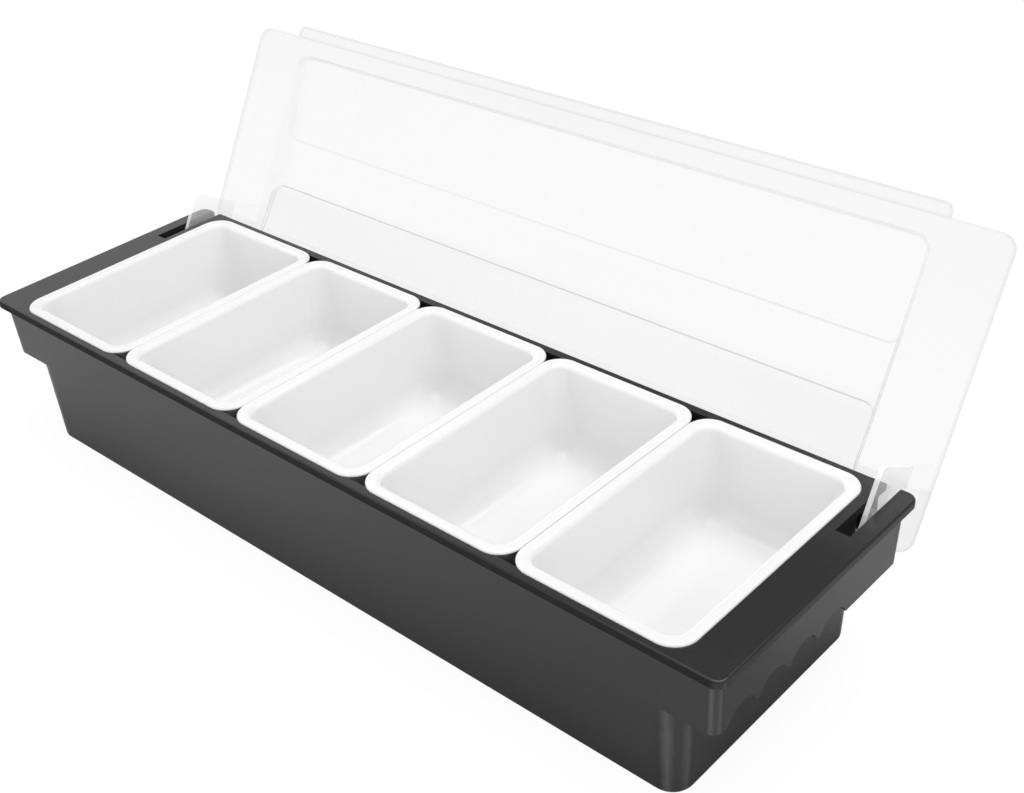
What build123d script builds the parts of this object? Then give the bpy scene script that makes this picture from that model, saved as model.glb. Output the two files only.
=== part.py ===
"""Bar garnish tray: a black tub with finger-grip ends, five lift-out inserts and a clear hinged lid.

Frame: origin at the centre of the tub's base on the ground, +X along the length, +Y to the rear,
+Z up. The lid is drawn swung open and the inserts are drawn in their seats.
"""
import os
from math import cos, radians, sin

from build123d import *

# Tray flange, the widest part, and the overall height
FLANGE_LENGTH = 495.0
FLANGE_WIDTH = 150.0
FLANGE_THICKNESS = 4.0
FLANGE_CORNER = 5.5
FLANGE_REAR_ROUND = 1.2
TRAY_HEIGHT = 84.0

# Tub below the flange: drafted walls that open upwards, their tops set in from the flange's edges
END_LEDGE = 20.3
SIDE_LEDGE = 3.136
END_DRAFT = 0.036
SIDE_DRAFT = 0.046
CORNER_DRAFT = 0.035
TUB_BASE_LENGTH = FLANGE_LENGTH - 2 * (END_LEDGE + END_DRAFT * TRAY_HEIGHT)
TUB_BASE_WIDTH = FLANGE_WIDTH - 2 * (SIDE_LEDGE + SIDE_DRAFT * TRAY_HEIGHT)
TUB_BASE_CORNER = 11.0
WALL = 2.2
FLOOR = 2.5
BASE_EDGE_ROUND = 1.8
CAVITY_EDGE_ROUND = 4.0

# Hinge slots through the flange, open at the rear
SLOT_WIDTH = 7.2
SLOT_END_MARGIN = 9.0
SLOT_RUN = 43.3
SLOT_OUTER = FLANGE_LENGTH / 2 - SLOT_END_MARGIN
SLOT_INNER = SLOT_OUTER - SLOT_WIDTH
SLOT_FRONT = FLANGE_WIDTH / 2 - SLOT_RUN
CHEEK_THICKNESS = 2.2
CHEEK_RADIUS = 7.0
OUTER_CHEEK_DEPTH = 3.6

# Hanging skirts at the two ends, open below as finger grips
SKIRT_DEPTH = 34.0
SKIRT_INSET = 4.5
SKIRT_LENGTH = FLANGE_LENGTH - 2 * SKIRT_INSET
SKIRT_DRAFT = 0.030
SKIRT_CORNER = 5.2
SKIRT_OVERLAP = 3.0
SKIRT_INNER_START = TUB_BASE_LENGTH / 2 - TUB_BASE_CORNER - SKIRT_OVERLAP
GROOVE_COUNT = 4
GROOVE_DEPTH = 7.0
GROOVE_FRONT_MARGIN = 12.0
GROOVE_REAR_MARGIN = 5.0
GROOVE_LAND = 2.4
GROOVES_FRONT = GROOVE_FRONT_MARGIN - FLANGE_WIDTH / 2
GROOVE_PITCH = (SLOT_FRONT - GROOVE_REAR_MARGIN - GROOVES_FRONT) / GROOVE_COUNT

# Lift-out inserts: their rims fill the tub's mouth and rest a little on the flange
INSERT_COUNT = 5
END_SEAT = 1.5
SIDE_SEAT = 1.136
INSERT_PITCH = (FLANGE_LENGTH - 2 * (END_LEDGE + WALL - END_SEAT)) / INSERT_COUNT
INSERT_GAP = 0.3
RIM_WIDTH = FLANGE_WIDTH - 2 * (SIDE_LEDGE + WALL - SIDE_SEAT)
RIM_SHIFT = -0.4
RIM_CORNER = 12.0
RIM_HEIGHT = 1.1
RIM_EDGE_ROUND = 1.0
RIM_OVERHANG = 4.3
INSERT_DEPTH = 50.0
INSERT_DRAFT = 0.050
INSERT_WALL = 2.2
INSERT_FLOOR = 2.2
INSERT_TOP_CORNER = 9.0
INSERT_BASE_CORNER = 17.0
INSERT_BASE_ROUND = 15.0
MOUTH_ROUND = 2.5

# Hinge axis, and the lid's closed seat
PIVOT_FROM_REAR = 13.66
PIVOT_Y = FLANGE_WIDTH / 2 - PIVOT_FROM_REAR
PIVOT_BELOW_TOP = 11.44
PIN_RADIUS = 3.0
PIN_FIT = 0.06
PIN_INNER_HOLD = 1.8
PIN_OUTER_HOLD = 2.9
PIN_END_GAP = 0.3
PIN_REACH_IN = SLOT_INNER - PIN_INNER_HOLD
PIN_REACH_OUT = SLOT_OUTER + PIN_OUTER_HOLD
BORE_REACH_OUT = PIN_REACH_OUT + PIN_END_GAP
HUB_RADIUS = 5.0
HUB_SIDE_GAP = 0.2
OPEN_ANGLE = 120.44
LID_FRONT_SETBACK = 1.95
LID_CLOSED_FRONT_Y = LID_FRONT_SETBACK - FLANGE_WIDTH / 2
SEAT_CLEARANCE = 0.04
LID_CLOSED_FRONT_HEIGHT = RIM_HEIGHT + SEAT_CLEARANCE
LID_CLOSED_SLOPE = 1.74

# Lid sheet, front lip and the low raised panel
LID_LENGTH = FLANGE_LENGTH
LID_REAR_SETBACK = 1.05
LID_DEPTH = FLANGE_WIDTH - LID_FRONT_SETBACK - LID_REAR_SETBACK
LID_CORNER = 8.0
LID_SHEET = 2.2
LIP_END_MARGIN = 32.5
LIP_LENGTH = LID_LENGTH - 2 * LIP_END_MARGIN
LIP_REACH = 6.5
LIP_SHEET = 1.6
LIP_CORNER = 5.0
RELIEF_RUN = 29.0
RELIEF_START = LID_DEPTH - RELIEF_RUN
RELIEF_DEPTH = 1.0
PANEL_FRONT = 10.4
PANEL_REAR_MARGIN = 10.0
PANEL_REAR = LID_DEPTH - PANEL_REAR_MARGIN
PANEL_WALL_RUN = 1.0
PANEL_FRONT_HEIGHT = 5.4
PANEL_TOP_HEIGHT = 9.6
PANEL_REAR_HEIGHT = 3.2
PANEL_TOP_START = 60.0
PANEL_REAR_SLOPE_RUN = 48.5
PANEL_TOP_END = PANEL_REAR - PANEL_REAR_SLOPE_RUN
PANEL_END_MARGIN = 36.5
PANEL_HALF_LENGTH = LID_LENGTH / 2 - PANEL_END_MARGIN
PANEL_END_RUN = 6.0
PANEL_CORNER = 7.0
PANEL_WALL = 2.0

# Hinge fins that hang from the lid into the slots
FIN_MIDDLE = (SLOT_INNER + SLOT_OUTER) / 2
FIN_THICKNESS = 2.4
FIN_RUN = 39.0
FIN_START = LID_DEPTH - FIN_RUN
FIN_DEPTH = 31.0
FIN_FRONT_ROUND = 3.0
FIN_REAR_ROUND = 8.0

FLANGE_UNDERSIDE = TRAY_HEIGHT - FLANGE_THICKNESS
SKIRT_BOTTOM = TRAY_HEIGHT - SKIRT_DEPTH
PIVOT_Z = TRAY_HEIGHT - PIVOT_BELOW_TOP
OVERCUT = 1.0


def rounded_plate(length, width, corner, low, high):
    """An upright slab with a rounded-rectangle outline between two heights."""
    return extrude(Pos(0, 0, low) * RectangleRounded(length, width, corner), high - low)


def tapered_block(low, high):
    """A block between two rounded rectangles, each (length, width, corner, height)."""
    sections = [Pos(0, 0, z) * RectangleRounded(length, width, corner)
                for length, width, corner, z in (low, high)]
    return loft(sections, ruled=True)


def box_between(low, high):
    """A box from one corner to the opposite corner."""
    size = [b - a for a, b in zip(low, high)]
    middle = [(a + b) / 2 for a, b in zip(low, high)]
    return Pos(*middle) * Box(*size)


def both_ends(shape):
    """The shape at the right end together with its mirror image at the left end."""
    return shape + mirror(shape, about=Plane.YZ)


def tub_section(height, inset=0.0):
    """The tub's outline at a height, moved inwards by an inset."""
    return (TUB_BASE_LENGTH + 2 * (END_DRAFT * height - inset),
            TUB_BASE_WIDTH + 2 * (SIDE_DRAFT * height - inset),
            TUB_BASE_CORNER + CORNER_DRAFT * height - inset,
            height)


def skirt_section(height, inset=0.0):
    """The end skirt's outline at a height: its long sides lie flush with the tub."""
    return (SKIRT_LENGTH + 2 * (SKIRT_DRAFT * (height - SKIRT_BOTTOM) - inset),
            TUB_BASE_WIDTH + 2 * (SIDE_DRAFT * height - inset),
            SKIRT_CORNER - inset,
            height)


def tub_cavity():
    """The hollow of the tub, up through the flange."""
    hollow = tapered_block(tub_section(FLOOR, WALL), tub_section(TRAY_HEIGHT + OVERCUT, WALL))
    return fillet(hollow.edges().group_by(Axis.Z)[0], CAVITY_EDGE_ROUND)


def end_skirts():
    """Both skirts: a front wall, an end wall with finger grooves and a short rear return."""
    outside = tapered_block(skirt_section(SKIRT_BOTTOM), skirt_section(FLANGE_UNDERSIDE))
    inside = tapered_block(skirt_section(SKIRT_BOTTOM, WALL), skirt_section(FLANGE_UNDERSIDE, WALL))
    ring = outside - inside
    side = FLANGE_WIDTH / 2
    low, high = SKIRT_BOTTOM - OVERCUT, FLANGE_UNDERSIDE + OVERCUT
    right = ring & box_between((SKIRT_INNER_START, -side, low), (FLANGE_LENGTH / 2, side, high))
    right -= box_between((SKIRT_INNER_START - OVERCUT, SLOT_FRONT, low), (SLOT_OUTER, side, high))
    half = (GROOVE_PITCH - GROOVE_LAND) / 2
    radius = (half ** 2 + GROOVE_DEPTH ** 2) / (2 * GROOVE_DEPTH)
    for index in range(GROOVE_COUNT):
        y = GROOVES_FRONT + (index + 0.5) * GROOVE_PITCH
        z = SKIRT_BOTTOM + GROOVE_DEPTH - radius
        right -= Pos(SLOT_OUTER + radius, y, z) * Rot(0, 90, 0) * Cylinder(radius, 2 * radius)
    return both_ends(right)


def hinge_cheeks():
    """Plates under the flange on both sides of each slot, bored for the lid's pins."""
    def cheek(start, end):
        lobe = Pos((start + end) / 2, PIVOT_Y, PIVOT_Z) * Rot(0, 90, 0) * Cylinder(
            CHEEK_RADIUS, end - start)
        web = box_between((start, PIVOT_Y - CHEEK_RADIUS, PIVOT_Z),
                          (end, PIVOT_Y + CHEEK_RADIUS, FLANGE_UNDERSIDE))
        return lobe + web
    inner = cheek(SLOT_INNER - CHEEK_THICKNESS, SLOT_INNER)
    outer = cheek(SLOT_OUTER, SLOT_OUTER + OUTER_CHEEK_DEPTH)
    return both_ends(inner + outer)


def pin_bores():
    """The bores that take the lid's pins: through the inner cheek and blind in the outer one."""
    start = SLOT_INNER - CHEEK_THICKNESS - OVERCUT
    length = BORE_REACH_OUT - start
    bore = Pos(start + length / 2, PIVOT_Y, PIVOT_Z) * Rot(0, 90, 0) * Cylinder(
        PIN_RADIUS + PIN_FIT, length)
    return both_ends(bore)


def tray_base():
    """Tub, flange, end skirts and hinge cheeks in one moulding."""
    tub = tapered_block(tub_section(0), tub_section(FLANGE_UNDERSIDE))
    tub = fillet(tub.edges().group_by(Axis.Z)[0], BASE_EDGE_ROUND)
    flange = rounded_plate(FLANGE_LENGTH, FLANGE_WIDTH, FLANGE_CORNER,
                           FLANGE_UNDERSIDE, TRAY_HEIGHT)
    rear_edge = flange.edges().group_by(Axis.Z)[-1].sort_by(Axis.Y)[-1]
    flange = fillet(rear_edge, FLANGE_REAR_ROUND)
    body = tub + flange + end_skirts() + hinge_cheeks()
    body -= tub_cavity()
    slot = box_between((SLOT_INNER, SLOT_FRONT, FLANGE_UNDERSIDE - OVERCUT),
                       (SLOT_OUTER, FLANGE_WIDTH / 2 + OVERCUT, TRAY_HEIGHT + OVERCUT))
    body -= both_ends(slot)
    body -= pin_bores()
    return body


def insert_section(depth, inset=0.0):
    """An insert's outline at a depth below its rim, moved inwards by an inset."""
    share = depth / INSERT_DEPTH
    corner = INSERT_TOP_CORNER + (INSERT_BASE_CORNER - INSERT_TOP_CORNER) * share
    shrink = 2 * (RIM_OVERHANG + INSERT_DRAFT * depth + inset)
    return (INSERT_PITCH - INSERT_GAP - shrink, RIM_WIDTH - shrink, corner - inset,
            TRAY_HEIGHT - depth)


def insert():
    """One open-topped insert whose rim rests on the flange."""
    body = tapered_block(insert_section(INSERT_DEPTH), insert_section(0))
    body = fillet(body.edges().group_by(Axis.Z)[0], INSERT_BASE_ROUND)
    rim = rounded_plate(INSERT_PITCH - INSERT_GAP, RIM_WIDTH, RIM_CORNER,
                        TRAY_HEIGHT, TRAY_HEIGHT + RIM_HEIGHT)
    rim = fillet(rim.edges().group_by(Axis.Z)[-1], RIM_EDGE_ROUND)
    hollow = tapered_block(insert_section(INSERT_DEPTH - INSERT_FLOOR, INSERT_WALL),
                           insert_section(-RIM_HEIGHT - OVERCUT, INSERT_WALL))
    hollow = fillet(hollow.edges().group_by(Axis.Z)[0], INSERT_BASE_ROUND - INSERT_WALL)
    shell = body + rim - hollow
    top = shell.faces().sort_by(Axis.Z)[-1]
    return fillet(top.inner_wires()[0].edges(), MOUTH_ROUND)


def panel_block(front, rear, half_length, corner, low, high):
    """A block over the raised panel's outline whose ends lean inwards as it rises."""
    def section(height):
        lean = PANEL_END_RUN * height / PANEL_TOP_HEIGHT
        return Pos(0, (front + rear) / 2, height) * RectangleRounded(
            2 * (half_length - lean), rear - front, corner)
    return loft([section(low), section(high)], ruled=True)


def panel_profile(points):
    """A slab along the whole lid with this outline of (distance from the free edge, height)."""
    outline = Polyline([(0, s, o) for s, o in points], close=True)
    return extrude(make_face(outline), LID_LENGTH / 2, dir=(1, 0, 0), both=True)


def raised_panel(outset, drop, bottom):
    """The panel's rise: a front slope, a flat crown and a rear slope."""
    step = PANEL_WALL_RUN
    return panel_profile([
        (PANEL_FRONT + outset, bottom),
        (PANEL_FRONT + outset, LID_SHEET - drop),
        (PANEL_FRONT + outset + step, PANEL_FRONT_HEIGHT - drop),
        (PANEL_TOP_START, PANEL_TOP_HEIGHT - drop),
        (PANEL_TOP_END, PANEL_TOP_HEIGHT - drop),
        (PANEL_REAR - outset - step, PANEL_REAR_HEIGHT - drop),
        (PANEL_REAR - outset, LID_SHEET - drop),
        (PANEL_REAR - outset, bottom),
    ])


def lid_sheet():
    """Sheet, lip and raised panel, drawn flat: +Y runs back from the free edge, +Z outwards."""
    middle = Pos(0, LID_DEPTH / 2, 0)
    sheet = middle * rounded_plate(LID_LENGTH, LID_DEPTH, LID_CORNER, 0, LID_SHEET)
    lip = rounded_plate(LIP_LENGTH, 2 * LIP_REACH, LIP_CORNER, LID_SHEET - LIP_SHEET, LID_SHEET)
    outside = raised_panel(0, 0, 0) & panel_block(
        PANEL_FRONT, PANEL_REAR, PANEL_HALF_LENGTH, PANEL_CORNER, 0, PANEL_TOP_HEIGHT + OVERCUT)
    inside = raised_panel(PANEL_WALL, LID_SHEET, -OVERCUT) & panel_block(
        PANEL_FRONT + PANEL_WALL, PANEL_REAR - PANEL_WALL, PANEL_HALF_LENGTH - PANEL_WALL,
        PANEL_CORNER - PANEL_WALL, -OVERCUT, PANEL_TOP_HEIGHT + OVERCUT)
    relief = box_between((-LID_LENGTH / 2 - OVERCUT, RELIEF_START, -OVERCUT),
                         (LID_LENGTH / 2 + OVERCUT, LID_DEPTH + OVERCUT, RELIEF_DEPTH))
    return sheet + lip + outside - inside - relief


def lid_seat():
    """The plane of the closed lid's inner face, at its free edge."""
    slope = radians(LID_CLOSED_SLOPE)
    return Plane(origin=(0, LID_CLOSED_FRONT_Y, TRAY_HEIGHT + LID_CLOSED_FRONT_HEIGHT),
                 x_dir=(1, 0, 0), z_dir=(0, -sin(slope), cos(slope)))


def hinge_fins():
    """Fins with pins and hubs, in the flat lid's own frame."""
    seat = lid_seat()
    pivot = seat.to_local_coords(Vector(0, PIVOT_Y, PIVOT_Z))
    corners = [(FIN_START, LID_SHEET / 2), (FIN_START, -FIN_DEPTH),
               (LID_DEPTH, -FIN_DEPTH), (LID_DEPTH, LID_SHEET / 2)]
    outline = make_face(Polyline([(0, s, o) for s, o in corners], close=True))
    plate = extrude(outline, FIN_THICKNESS / 2, dir=(1, 0, 0), both=True)
    lower = plate.edges().filter_by(Axis.X).group_by(Axis.Z)[0].sort_by(Axis.Y)
    plate = fillet(lower[0], FIN_FRONT_ROUND)
    lower = plate.edges().filter_by(Axis.X).sort_by(Axis.Z)
    rear = [e for e in lower if e.center().Y > LID_DEPTH - 0.1 and e.center().Z < 0]
    plate = fillet(rear, FIN_REAR_ROUND)
    fin = Pos(FIN_MIDDLE, 0, 0) * plate
    hub_width = SLOT_OUTER - SLOT_INNER - 2 * HUB_SIDE_GAP
    hub = Pos((SLOT_INNER + SLOT_OUTER) / 2, pivot.Y, pivot.Z) * Rot(0, 90, 0) * Cylinder(
        HUB_RADIUS, hub_width)
    pin = Pos((PIN_REACH_IN + PIN_REACH_OUT) / 2, pivot.Y, pivot.Z) * Rot(0, 90, 0) * Cylinder(
        PIN_RADIUS, PIN_REACH_OUT - PIN_REACH_IN)
    return both_ends(fin + hub + pin)


def lid():
    """The lid, swung open about its pins."""
    closed = lid_seat() * (lid_sheet() + hinge_fins())
    return closed.rotate(Axis((0, PIVOT_Y, PIVOT_Z), (1, 0, 0)), -OPEN_ANGLE)


def main():
    os.makedirs("parts", exist_ok=True)
    export_step(tray_base(), "parts/tray_base.step")
    cup = insert()
    for index in range(INSERT_COUNT):
        x = (index - (INSERT_COUNT - 1) / 2) * INSERT_PITCH
        export_step(Pos(x, RIM_SHIFT, 0) * cup, f"parts/insert_{index + 1}.step")
    export_step(lid(), "parts/lid.step")


main()
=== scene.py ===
import bpy
import numpy as np
from mathutils import Matrix, Vector


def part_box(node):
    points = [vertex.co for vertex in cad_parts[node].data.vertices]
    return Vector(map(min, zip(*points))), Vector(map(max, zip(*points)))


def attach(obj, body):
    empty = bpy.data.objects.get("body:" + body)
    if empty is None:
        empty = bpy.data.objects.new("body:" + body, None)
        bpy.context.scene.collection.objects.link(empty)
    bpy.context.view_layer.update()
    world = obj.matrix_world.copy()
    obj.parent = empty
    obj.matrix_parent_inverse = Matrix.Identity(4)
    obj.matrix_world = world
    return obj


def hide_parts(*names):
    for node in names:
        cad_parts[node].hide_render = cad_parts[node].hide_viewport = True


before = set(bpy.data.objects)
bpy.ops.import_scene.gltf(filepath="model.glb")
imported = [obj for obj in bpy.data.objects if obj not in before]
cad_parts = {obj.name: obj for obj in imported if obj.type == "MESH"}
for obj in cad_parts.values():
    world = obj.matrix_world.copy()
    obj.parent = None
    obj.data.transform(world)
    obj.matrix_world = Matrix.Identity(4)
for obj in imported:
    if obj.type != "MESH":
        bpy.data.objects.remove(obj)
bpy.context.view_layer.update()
scene = bpy.context.scene
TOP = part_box("tray_base")[1].z


# Node trees

def colour(level):
    """A grey level, or three numbers, as an opaque colour."""
    return (*(level if isinstance(level, tuple) else (level, level, level)), 1)


class Graph:
    """A node tree, with a short way to add each kind of node that the finishes use."""

    def __init__(self, tree):
        self.nodes, self.links = tree.nodes, tree.links

    def feed(self, socket, value):
        """Links another node's output to a socket, or sets a number or colour on the socket itself."""
        if isinstance(value, bpy.types.NodeSocket):
            self.links.new(value, socket)
        else:
            socket.default_value = value

    def add(self, kind, **values):
        """A node with some of its inputs fed; _ stands for a space in an input's name."""
        node = self.nodes.new(kind)
        for name, value in values.items():
            self.feed(node.inputs[name.replace("_", " ")], value)
        return node

    def math(self, operation, first, *others):
        """A math node over one or two values; further values are taken in one after the other."""
        for other in others or (None,):
            node = self.nodes.new("ShaderNodeMath")
            node.operation = operation
            self.feed(node.inputs[0], first)
            if other is not None:
                self.feed(node.inputs[1], other)
            first = node.outputs[0]
        return first

    def vector_math(self, operation, first, second, inlet, outlet):
        """A vector math node whose second value goes to the named inlet."""
        node = self.nodes.new("ShaderNodeVectorMath")
        node.operation = operation
        self.feed(node.inputs[0], first)
        self.feed(node.inputs[inlet], second)
        return node.outputs[outlet]

    def remap(self, value, low, high, start=0.3, end=0.7):
        """Maps a value from start..end, a noise's range unless given, to low..high."""
        return self.add("ShaderNodeMapRange", Value=value, From_Min=start, From_Max=end,
                        To_Min=low, To_Max=high).outputs["Result"]

    def above(self, value, edge, width):
        """0 below an edge and 1 above it, over a width."""
        return self.remap(value, 0, 1, edge - width / 2, edge + width / 2)

    def below(self, value, edge, width):
        """1 below an edge and 0 above it, over a width."""
        return self.remap(value, 1, 0, edge - width / 2, edge + width / 2)

    def ramp(self, value, *stops):
        """Colours or grey levels between (place, level) stops."""
        node = self.add("ShaderNodeValToRGB", Fac=value)
        elements = node.color_ramp.elements
        for element, (place, level) in zip(elements, (stops[0], stops[-1])):
            element.position, element.color = place, colour(level)
        for place, level in stops[1:-1]:
            elements.new(place).color = colour(level)
        return node.outputs["Color"]

    def mix(self, factor, first, second):
        """A colour between two others."""
        node = self.nodes.new("ShaderNodeMix")
        node.data_type = "RGBA"
        for name, value in (("Factor", factor), ("A", first), ("B", second)):
            self.feed(node.inputs[name], value)
        return node.outputs["Result"]

    def mix_shaders(self, factor, first, second):
        """A surface between two others."""
        node = self.add("ShaderNodeMixShader", Fac=factor)
        self.feed(node.inputs[1], first)
        self.feed(node.inputs[2], second)
        return node.outputs["Shader"]

    def split(self, vector):
        """The X, Y and Z of a vector."""
        return self.add("ShaderNodeSeparateXYZ", Vector=vector).outputs

    def noise(self, place, scale, detail):
        """A noise texture; scale is in cycles per metre."""
        return self.add("ShaderNodeTexNoise", Vector=place, Scale=scale, Detail=detail).outputs["Fac"]

    def attribute(self, name):
        """A number that the mesh carries."""
        node = self.nodes.new("ShaderNodeAttribute")
        node.attribute_name = name
        return node.outputs["Fac"]


def new_material(name):
    """An empty node material; returns it, its graph, its Object coordinates and its surface socket."""
    material = bpy.data.materials.new(name)
    material.use_nodes = True
    material.node_tree.nodes.clear()
    graph = Graph(material.node_tree)
    surface = graph.add("ShaderNodeOutputMaterial").inputs["Surface"]
    return material, graph, graph.add("ShaderNodeTexCoord").outputs["Object"], surface


# Finishes. Places are in metres. Where a face looks along X, its normal's X times its place's X is about
# its distance from the middle, below 0 where it faces in.

PLASTIC_IOR = 1.5
BLACK_TONES = (0.3, (0.016, 0.016, 0.0165)), (0.7, (0.020, 0.020, 0.0205))
# Painted tones: a paler highlight for upright corners and grip cut faces, a near-black shade for the lip's
# edge, slots and skirt insides.
PAINTED_HIGHLIGHT_TONE, PAINTED_SHADE_TONE = 0.085, 0.006
# Painted highlight: where two paler streaks lie across an upright corner, by how far its normal turns
# sideways.
PAINTED_HIGHLIGHT_TURN = (0.15, 0.0), (0.44, 1.0), (0.66, 0.25), (0.80, 0.25), (0.94, 0.8), (0.995, 0.0)
LIP_FOOT = TOP - 0.0038
SKIRT_INSIDE = -0.228
SLOT_INNER, SLOT_OUTER, SLOT_FRONT, SLOT_FOOT = 0.2235, 0.233, 0.030, 0.050
GRIP_INNER, GRIP_FRONT, GRIP_REAR = 0.235, -0.066, 0.030
CLEAR_TINT = (0.3, 0.941), (0.7, 0.949)
# Painted shade: how dark the clear tint gets along the lid's creases.
CREASE_SHADE_TINT = 0.60


def moulded(graph, surface, grain, base, roughness, strength, depth):
    """Feeds the surface of a moulded plastic: base colour, roughness and the grain's bump, with its depth in
    metres."""
    relief = graph.add("ShaderNodeBump", Strength=strength, Distance=depth, Height=grain)
    plastic = graph.add("ShaderNodeBsdfPrincipled", Base_Color=base, Roughness=roughness, IOR=PLASTIC_IOR,
                        Normal=relief.outputs["Normal"])
    graph.feed(surface, plastic.outputs["BSDF"])


def black_plastic():
    """Satin black moulding with an even grain. Painted shade: darker and duller on the lip's edge, inside the
    skirts and in the hinge slots. Painted highlight: paler on upright corners and on the grip grooves' cut
    faces."""
    material, graph, coordinate, surface = new_material("black_plastic")
    grain = graph.noise(coordinate, 1900, 2)
    place = graph.split(coordinate)
    geometry = graph.add("ShaderNodeNewGeometry").outputs
    facet, normal = graph.split(geometry["True Normal"]), graph.split(geometry["Normal"])
    sideways = graph.math("ABSOLUTE", normal["X"])
    facing = graph.math("MULTIPLY", normal["X"], place["X"])

    # Painted shade on the lip's edge, in the hinge slots and inside the skirts: near black and rough.
    lip = graph.math("MULTIPLY", graph.math("GREATER_THAN", place["Z"], LIP_FOOT),
                     graph.below(facet["Z"], 0.7, 0.4), graph.remap(sideways, 1, 0.35, 0, 1))
    slots = graph.math("MULTIPLY", graph.below(facing, SLOT_OUTER, 0.001),
                       graph.above(facing, SLOT_INNER, 0.002), graph.above(place["Y"], SLOT_FRONT, 0.002),
                       graph.above(place["Z"], SLOT_FOOT, 0.002))
    dull_painted_shade = graph.math("MAXIMUM", lip, slots, graph.below(facing, SKIRT_INSIDE, 0.001))

    # Painted highlight: paler streaks on upright corners and on the grip grooves' cut faces.
    corners = graph.math("MULTIPLY", graph.ramp(sideways, *PAINTED_HIGHLIGHT_TURN),
                         graph.below(normal["Z"], 0.175, 0.15))
    cuts = graph.math("MULTIPLY", graph.above(graph.math("ABSOLUTE", facet["Y"]), 0.45, 0.3),
                      graph.above(graph.math("ABSOLUTE", place["X"]), GRIP_INNER, 0.002),
                      graph.above(place["Y"], GRIP_FRONT, 0.001), graph.below(place["Y"], GRIP_REAR, 0.002))
    painted_highlight = graph.math("MAXIMUM", corners, cuts)

    wall = graph.mix(painted_highlight, graph.ramp(grain, *BLACK_TONES), colour(PAINTED_HIGHLIGHT_TONE))
    moulded(graph, surface, grain, graph.mix(dull_painted_shade, wall, colour(PAINTED_SHADE_TONE)),
            graph.remap(dull_painted_shade, 0.24, 0.92, 0, 1), 0.25, 0.00004)
    return material


def white_plastic():
    """Smooth white moulding: a soft gloss over a very fine grain."""
    material, graph, coordinate, surface = new_material("white_plastic")
    grain = graph.noise(coordinate, 2600, 2)
    moulded(graph, surface, grain, graph.ramp(grain, (0.3, 0.915), (0.7, 0.935)),
            graph.remap(grain, 0.13, 0.17), 0.1, 0.00001)
    return material


def clear_plastic():
    """Clear polished plastic: Schlick's mirror over a tint with painted shade on creases, and a pale haze
    with a painted glow.
    """
    material, graph, coordinate, surface = new_material("clear_plastic")
    grain = graph.noise(coordinate, 900, 1)
    # Painted shade along the creases darkens the tint.
    tint = graph.mix(graph.attribute("crease_shade"), graph.ramp(grain, *CLEAR_TINT), colour(CREASE_SHADE_TINT))
    body = graph.add("ShaderNodeBsdfTransparent", Color=tint)
    mirror = graph.add("ShaderNodeBsdfAnisotropic", Color=colour(1), Roughness=graph.remap(grain, 0.02, 0.05))
    turned = graph.add("ShaderNodeLayerWeight", Blend=0.5).outputs["Facing"]
    schlick = graph.remap(graph.math("POWER", turned, 5), 0.04, 1, 0, 1)
    polished = graph.mix_shaders(schlick, body.outputs["BSDF"], mirror.outputs["BSDF"])
    # The haze has a faint painted glow, as if lit from within.
    cloudy_glow = graph.add("ShaderNodeBsdfPrincipled", Base_Color=graph.ramp(grain, (0.3, 0.90), (0.7, 0.94)),
                       Roughness=0.35, Emission_Color=colour(1), Emission_Strength=0.3)
    hazy = graph.remap(graph.attribute("haze"), 0, 0.5, 0, 1)
    graph.feed(surface, graph.mix_shaders(hazy, polished, cloudy_glow.outputs["BSDF"]))
    return material


# Pieces

def dress(node, material):
    """Gives a CAD node's object a material."""
    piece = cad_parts[node]
    piece.data.materials.clear()
    piece.data.materials.append(material)


def add_lid_piece(name, points, faces, haze, crease_shade, material, round_edges=0.0):
    """A piece of the lid: a mesh in metres that carries a haze and a painted crease shade per point or face,
    is shaded smooth up to 35 degrees and may have its edges rounded."""
    mesh = bpy.data.meshes.new(name)
    mesh.from_pydata(points.tolist(), [], faces)
    for word, values in (("haze", haze), ("crease_shade", crease_shade)):
        domain = "POINT" if len(values) == len(points) else "FACE"
        mesh.attributes.new(word, "FLOAT", domain).data.foreach_set("value", np.asarray(values, np.float32))
    mesh.shade_smooth()
    mesh.set_sharp_from_angle(angle=np.radians(35))
    mesh.materials.append(material)
    piece = bpy.data.objects.new(name, mesh)
    scene.collection.objects.link(piece)
    if round_edges:
        bevel = piece.modifiers.new("round_edges", "BEVEL")
        bevel.width, bevel.segments, bevel.limit_method = round_edges, 3, "ANGLE"
        bevel.angle_limit, bevel.harden_normals = np.radians(50), True
    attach(piece, "lid")
    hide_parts("lid")


# The lid, in millimetres in its own coordinates: x along it, s back from the free edge, o outwards from the
# inner face. A field is its half length, front, rear, corner, height and the strength of its painted crease
# shade.

LID_ORIGIN = np.array([0.0, 0.14027, 0.18205])
LID_BACK = np.array([0.0, -0.48024, -0.87713])
LID_OUT = np.array([0.0, 0.87713, -0.48024])
HALF, DEPTH, SHEET, CORNER = 247.5, 147.0, 2.2, 8.0
LIP_HALF, LIP_REACH, LIP_SHEET, LIP_CORNER = 215.0, 6.5, 1.6, 5.0
PANEL_HALF, PANEL_FRONT, PANEL_REAR, PANEL_CORNER, PANEL_TOP = 210.2, 9.7, 138.0, 8.0, 7.3
FIELDS = (208.8, 10.6, 61.1, 7.0, 0.35, 0.08), (208.9, 89.1, 190.0, 7.5, 0.45, 0.42)
FIELD_EDGE, FIELD_END = 1.0, 136.5
RELIEF_START = 117.5
FIN_INNER, FIN_OUTER, FIN_FRONT, FIN_FOOT, FIN_ROUND = 233.7, 236.1, 108.0, -31.0, 0.35
PIN_S, PIN_O = 133.95, -16.65


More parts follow.
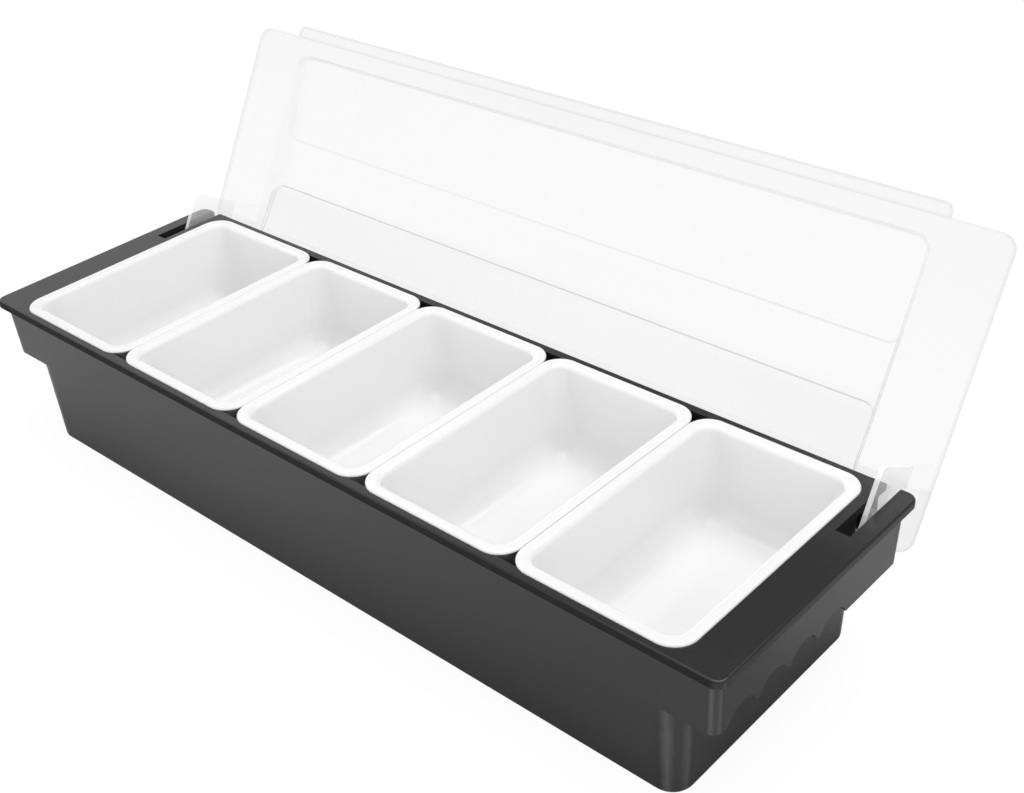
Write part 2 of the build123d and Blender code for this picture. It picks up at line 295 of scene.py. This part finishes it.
def lid_points(x, s, o):
    """Lid coordinates in millimetres to points of the shared frame in metres."""
    x, s, o = (np.asarray(v, float)[..., None] / 1000 for v in np.broadcast_arrays(x, s, o))
    return LID_ORIGIN + x * np.array([1.0, 0, 0]) + s * LID_BACK + o * LID_OUT


def lines(*stretches):
    """Grid lines: (end, step) stretches one after the other from the first number."""
    values = [stretches[0]]
    for end, step in stretches[1:]:
        count = max(1, round((end - values[-1]) / step))
        values.extend(np.linspace(values[-1], end, count + 1)[1:])
    return np.array(values)


def smooth_step(value, width):
    """0 below 0, 1 above the width, smooth between."""
    t = np.clip(value / width, 0, 1)
    return t * t * (3 - 2 * t)


def smooth_min(a, b, reach):
    """The smaller of two heights, rounded over the given reach."""
    h = np.clip(0.5 + 0.5 * (b - a) / reach, 0, 1)
    return b + (a - b) * h - reach * h * (1 - h)


def inside(x, s, half, front, rear, corner):
    """Distance inwards from a rounded rectangle's edge, negative outside it."""
    gx, gs = np.abs(x) - half, np.maximum(front - s, s - rear)
    qx, qs = gx + corner, gs + corner
    return corner - np.hypot(np.maximum(qx, 0), np.maximum(qs, 0)) - np.minimum(np.maximum(qx, qs), 0)


def panel_rise(x, s):
    """Height over the sheet: a front slope, a crown and a rear slope inside steep walls, with two embossed
    fields that run out near the hinge."""
    wall = 3.5 * inside(x, s, PANEL_HALF, PANEL_FRONT, PANEL_REAR, PANEL_CORNER)
    roof = smooth_min(3.2 + (s - 11.4) * 4.2 / 49.0, 7.4 - (s - 88.5) * 0.135, 1.2)
    roof = smooth_min(roof, PANEL_TOP + 0 * s, 0.8)
    rise = np.maximum(smooth_min(roof, wall, 1.6), 0)
    for half, front, rear, corner, height, _ in FIELDS:
        field = smooth_step(inside(x, s, half, front, rear, corner), FIELD_EDGE)
        rise = rise + height * field * smooth_step(FIELD_END - s, 3.0)
    return rise


def crease_shade_lines(x, s):
    """How dark the painted shade along the creases is: a hump 4 t (1 - t) over each field's edge, a bell at
    the lip's root, and an even strip along the outline."""
    total = 0.09 * np.exp(-((s + 0.2) / 0.7) ** 2) * (np.abs(x) < LIP_HALF)
    for half, front, rear, corner, _, strength in FIELDS:
        t = inside(x, s, half, front, rear, corner) / FIELD_EDGE
        total = total + strength * np.clip(4 * t * (1 - t), 0, 1) * (s < 136)
    sheet = inside(x, s, HALF, 0.0, DEPTH, CORNER) < 0.9
    lip = inside(x, s, LIP_HALF, -LIP_REACH, 40.0, LIP_CORNER) < 0.9
    return total + 0.13 * np.where(s < 0, lip, sheet)


def round_corners(x, s):
    """Presses the grid's outer corner squares into quarter discs, for the sheet and for the lip."""
    def press(x, s, half, edge, sign, corner):
        p = np.clip((np.abs(x) - (half - corner)) / corner, 0, 1)
        q = np.clip(sign * (s - edge) / corner + 1, 0, 1)
        near = (p > 0) & (q > 0)
        px, qs = p * np.sqrt(1 - q * q / 2), q * np.sqrt(1 - p * p / 2)
        x = np.where(near, np.sign(x) * (half - corner + corner * px), x)
        s = np.where(near, edge + sign * corner * (qs - 1), s)
        return x, s
    sheet = press(*press(x, s, HALF, DEPTH, 1, CORNER), HALF, 0.0, -1, CORNER)
    lip = press(x, s, LIP_HALF, -LIP_REACH, -1, LIP_CORNER)
    return np.where(s >= 0, sheet[0], lip[0]), np.where(s >= 0, sheet[1], lip[1])


def lid_sheet():
    """Outer face o = 2.2 + rise(x, s) and inner face o = rise(x, s), 1 mm higher near the hinge and 0.6 mm
    under the lip; both on one grid whose cells fill the sheet and the lip, closed by a wall round the
    outline."""
    right = lines(0.0, (196.0, 7.0), (206.4, 1.3), (210.8, 0.25), (215.0, 0.9), (HALF - CORNER, 6.0),
                  (HALF, 0.8))
    across = np.concatenate([-right[:0:-1], right])
    lip = lines(-LIP_REACH, (-1.5, 0.8), (-0.03, 0.7))
    main = lines(0.0, (9.4, 0.9), (13.0, 0.25), (19.0, 1.0), (52.0, 3.3), (59.8, 0.8), (61.4, 0.2),
                 (86.0, 3.0), (88.9, 0.6), (90.3, 0.14), (97.0, 0.8), (116.0, 3.0), (120.0, 0.7),
                 (132.0, 2.0), (DEPTH, 0.8))
    along = np.concatenate([lip, main])
    x, s = np.meshgrid(across, along, indexing="ij")
    cells = (along[1:] > 0)[None, :] | (np.abs(across[1:] + across[:-1]) / 2 < LIP_HALF)[:, None]
    gx, gs = round_corners(x, s)
    rise = panel_rise(gx, gs)
    outer = SHEET + rise
    inner = rise + (SHEET - LIP_SHEET) * (gs < -0.01) + smooth_step(gs - RELIEF_START, 1.0)
    count = gx.size
    index = np.arange(count).reshape(gx.shape)
    corners = [index[:-1, :-1], index[1:, :-1], index[1:, 1:], index[:-1, 1:]]
    quads = np.stack([c[cells] for c in corners], 1)
    padded = np.pad(cells, 1)
    walls = []
    for (di, dj), (a, b) in {(0, -1): (0, 1), (1, 0): (1, 2), (0, 1): (2, 3), (-1, 0): (3, 0)}.items():
        rim = cells & ~padded[1 + di:padded.shape[0] - 1 + di, 1 + dj:padded.shape[1] - 1 + dj]
        p, q = corners[a][rim], corners[b][rim]
        walls.append(np.stack([p, q, q + count, p + count], 1))
    points = np.concatenate([lid_points(gx, gs, o).reshape(-1, 3) for o in (inner, outer)])
    faces = np.concatenate([quads[:, ::-1], quads + count] + walls)
    crease_shade = np.tile(crease_shade_lines(gx, gs).ravel(), 2)
    used, faces = np.unique(faces, return_inverse=True)
    return points[used], faces.reshape(-1, 4).tolist(), np.zeros(len(used)), crease_shade[used]


def rounded_outline(corners, radii, turns=8):
    """A closed outline: each corner of a polygon replaced by an arc of its radius, in even steps of the
    turn."""
    corners = np.array(corners, float)
    arcs = []
    for corner, before, after, radius in zip(corners, np.roll(corners, 1, 0), np.roll(corners, -1, 0), radii):
        a, b = ((other - corner) / np.linalg.norm(other - corner) for other in (before, after))
        half = np.arccos(np.clip(a @ b, -1, 1)) / 2
        out, side = -(a + b) / np.linalg.norm(a + b), (b - a) / np.linalg.norm(b - a)
        centre = corner - out * radius / np.sin(half)
        t = np.linspace(-1, 1, turns)[:, None] * (np.pi / 2 - half)
        arcs.append(centre + radius * (np.cos(t) * out + np.sin(t) * side))
    return np.concatenate(arcs)


def lofted(rings, side):
    """Closed solid through rings of equally many points along x, with a flat cap at each end; on side -1 the
    rings are taken in reverse, so that its faces point outwards too."""
    rings = np.array(rings[::side])
    n, m = rings.shape[:2]
    index = np.arange(n * m).reshape(n, m)
    a, b = index[:-1], index[1:]
    quads = np.stack([a, np.roll(a, -1, 1), np.roll(b, -1, 1), b], -1).reshape(-1, 4).tolist()
    return rings.reshape(-1, 3), quads + [index[0][::-1].tolist(), index[-1].tolist()]


def hinge_fin(side):
    """A plate whose outline is a rectangle with a small front and a large rear round; its front and lower
    edges are the haziest."""
    def ring(x, inset):
        front, foot, rear = FIN_FRONT + inset, FIN_FOOT + inset, DEPTH - inset
        outline = rounded_outline([(front, 1.0), (front, foot), (rear, foot), (rear, 1.0)],
                                  [0.2, 3 - inset, 8 - inset, 0.2])
        return lid_points(side * x, outline[:, 0], outline[:, 1])
    stations = [(FIN_INNER, FIN_ROUND), (FIN_INNER + FIN_ROUND, 0), (FIN_OUTER - FIN_ROUND, 0),
                (FIN_OUTER, FIN_ROUND)]
    points, faces = lofted([ring(x, inset) for x, inset in stations], side)
    back, out = (points - LID_ORIGIN) @ LID_BACK * 1000, (points - LID_ORIGIN) @ LID_OUT * 1000
    haze = [1.6 if len(face) == 4 and (max(out[face]) < -22 or max(back[face]) < FIN_FRONT + 1) else 0.35
            for face in faces]
    return points, faces, haze, np.zeros(len(points))


def hinge_pin(side):
    """A hub and its pin: radii along the hinge axis turned about it."""
    t = np.linspace(0, 2 * np.pi, 41)[:-1]
    profile = [(229.5, 2.6), (229.9, 3.0), (231.45, 3.0), (231.5, 4.7), (231.8, 5.0), (238.0, 5.0),
               (238.3, 4.7), (238.35, 3.0), (241.0, 3.0), (241.4, 2.6)]
    rings = [lid_points(side * x, PIN_S + r * np.cos(t), PIN_O - r * np.sin(t)) for x, r in profile]
    points, faces = lofted(rings, side)
    return points, faces, np.full(len(points), 0.3), np.zeros(len(points))


# Floor, surround, lights and camera

PAPER = 0.86
# Painted shade seen only in reflections: the floor's tone for mirrors, darker near the tray's right end.
PAINTED_MIRROR_SHADE = ((0.04, 0.39), (0.14, 0.60), (0.24, 0.67), (0.32, 0.66), (0.44, 0.73), (0.62, 0.81),
                  (0.80, 0.89), (1.0, 0.85))
TRAY_END = (0.285, -0.01, 0)
AHEAD = (0.36, 1.25), (0.64, 0.26)
LEFT = (0.30, 1.25), (0.42, 0.68), (0.50, 0.90), (0.60, 1.28), (0.82, 0.26)
REARWARD = (0.4, 0.9, 0)


def make_floor():
    """A wide white floor that keeps a soft shadow of the object. In mirrors it carries a painted shade,
    darker near the tray's right end; camera and transmission rays see most of it as plain white."""
    material, graph, coordinate, surface = new_material("floor")
    path = graph.add("ShaderNodeLightPath").outputs
    away = graph.vector_math("DISTANCE", coordinate, TRAY_END, 1, "Value")
    # Painted shade for mirrors, by distance from the tray's right end.
    mirrored_painted_shade = graph.ramp(graph.remap(away, 0, 1, 0, 0.5), *PAINTED_MIRROR_SHADE)
    tone = graph.mix(path["Is Glossy Ray"], colour(PAPER), mirrored_painted_shade)
    paper = graph.add("ShaderNodeBsdfDiffuse", Color=tone)
    glow = graph.add("ShaderNodeEmission", Color=colour(1), Strength=1.08)
    plain = graph.math("ADD", graph.math("MULTIPLY", path["Is Camera Ray"], 0.85),
                       graph.math("MULTIPLY", path["Is Transmission Ray"], 0.75))
    graph.feed(surface, graph.mix_shaders(plain, paper.outputs["BSDF"], glow.outputs["Emission"]))
    mesh = bpy.data.meshes.new("floor")
    reach = 12.0
    mesh.from_pydata([(-reach, -reach, 0), (reach, -reach, 0), (reach, reach, 0), (-reach, reach, 0)],
                     [], [(0, 1, 2, 3)])
    mesh.materials.append(material)
    floor = bpy.data.objects.new("floor", mesh)
    scene.collection.objects.link(floor)


def make_world():
    """A pale surround: white at the horizon, grey overhead, a light patch on the left and a dim rear; camera
    and transmission rays see plain white."""
    world = bpy.data.worlds.new("world")
    scene.world = world
    world.use_nodes = True
    graph = Graph(world.node_tree)
    direction = graph.add("ShaderNodeTexCoord").outputs["Generated"]
    towards = graph.split(direction)
    surround = graph.mix(graph.remap(towards["X"], 0, 1, -0.45, -0.62), graph.ramp(towards["Z"], *AHEAD),
                         graph.ramp(towards["Z"], *LEFT))
    rearward = graph.vector_math("DOT_PRODUCT", direction, REARWARD, 1, "Value")
    dimming = graph.remap(rearward, 1, 0.5, 0.20, 0.45)
    dimmed = graph.vector_math("SCALE", surround, dimming, "Scale", "Vector")
    path = graph.add("ShaderNodeLightPath").outputs
    seen = graph.math("MAXIMUM", path["Is Camera Ray"], path["Is Transmission Ray"])
    graph.feed(graph.nodes["Background"].inputs["Color"], graph.mix(seen, dimmed, colour(1)))


def area_light(name, place, target, size, power):
    """A square soft light at a place, aimed at a target."""
    data = bpy.data.lights.new(name, "AREA")
    data.shape, data.size, data.energy = "SQUARE", size, power
    light = bpy.data.objects.new(name, data)
    light.location = place
    light.rotation_euler = (Vector(target) - Vector(place)).to_track_quat("-Z", "Y").to_euler()
    scene.collection.objects.link(light)


def make_camera():
    """The photograph's camera, solved from the flange, the inserts and the lid."""
    data = bpy.data.cameras.new("camera")
    data.lens, data.sensor_width = 51.29, 36.0
    right, up = Vector((0.74680, 0.66344, -0.04625)), Vector((-0.32763, 0.42754, 0.84254))
    camera = bpy.data.objects.new("camera", data)
    camera.matrix_world = Matrix((right, up, right.cross(up))).transposed().to_4x4()
    camera.location = (0.46645, -0.41099, 0.46679)
    scene.collection.objects.link(camera)
    scene.camera = camera


black, white, clear = black_plastic(), white_plastic(), clear_plastic()
dress("tray_base", black)
for number in range(1, 6):
    dress(f"insert_{number}", white)
add_lid_piece("lid_sheet", *lid_sheet(), clear, round_edges=0.0004)
for side, word in ((-1, "left"), (1, "right")):
    add_lid_piece(f"hinge_fin_{word}", *hinge_fin(side), clear)
    add_lid_piece(f"hinge_pin_{word}", *hinge_pin(side), clear)
make_floor()
make_world()
area_light("top", (0.2, 0.22, 1.5), (0.1, 0, 0), 1.3, 14.6)
area_light("front_right", (1.85, -0.15, 1.3), (0.05, 0, 0.05), 1.2, 5.0)
make_camera()
scene.view_settings.view_transform = "Standard"
